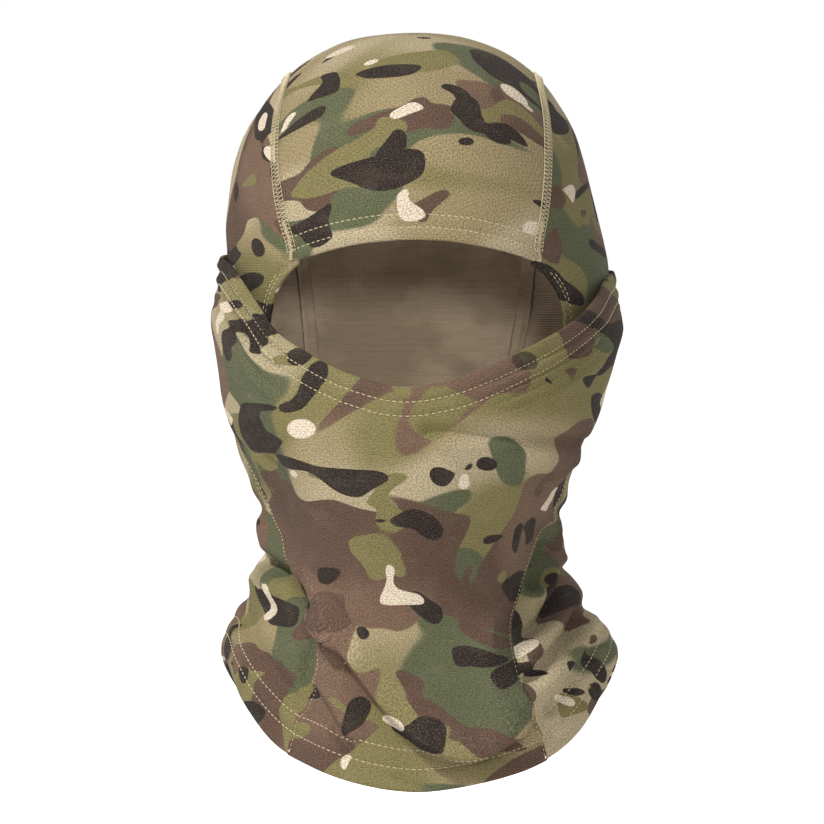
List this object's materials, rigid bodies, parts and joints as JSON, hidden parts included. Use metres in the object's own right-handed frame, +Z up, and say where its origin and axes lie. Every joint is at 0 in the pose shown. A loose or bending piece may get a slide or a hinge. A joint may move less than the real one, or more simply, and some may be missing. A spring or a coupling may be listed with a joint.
{
  "type": "balaclava hood",
  "caption": "Stretch-knit camouflage hood with an oval eye opening, a shaped neck bib and a face cover that pulls down under the chin.",
  "frame": {"origin": "middle of the wearer's head on the ear-to-ear line, which is also the line the face cover turns about", "axes": "+Z up through the crown, -Y is where the face looks, +X is the wearer's left"},
  "size_m": [0.183, 0.2312, 0.3415],
  "materials": {
    "camo_knit": "matte fine knit printed in soft woodland camouflage",
    "seam_thread": "matte khaki polyester thread"
  },
  "bodies": {
    "hood": {"bartack_left": "seam_thread", "bartack_right": "seam_thread", "brow_hem": "camo_knit", "brow_stitching": "seam_thread", "centre_panel": "camo_knit", "cheek_hem_left": "camo_knit", "cheek_hem_right": "camo_knit", "cheek_stitching_left": "seam_thread", "cheek_stitching_right": "seam_thread", "crown_seam_left": "seam_thread", "crown_seam_right": "seam_thread", "front_panel": "camo_knit", "front_seam_left": "seam_thread", "front_seam_right": "seam_thread", "neck_hem_back": "camo_knit", "neck_hem_front": "camo_knit", "neck_hem_left": "camo_knit", "neck_hem_right": "camo_knit", "neck_stitching_back": "seam_thread", "neck_stitching_front": "seam_thread", "side_panel_left": "camo_knit", "side_panel_right": "camo_knit"},
    "cover": {"cover_hem": "camo_knit", "cover_stitching": "seam_thread", "face_cover": "camo_knit"}
  },
  "joints": [
    {"name": "cover_pull_down", "type": "hinge", "parent": "hood", "child": "cover", "pos_m": [0, 0, 0], "axis": [1, 0, 0], "range_deg": [0, 22]}
  ]
}
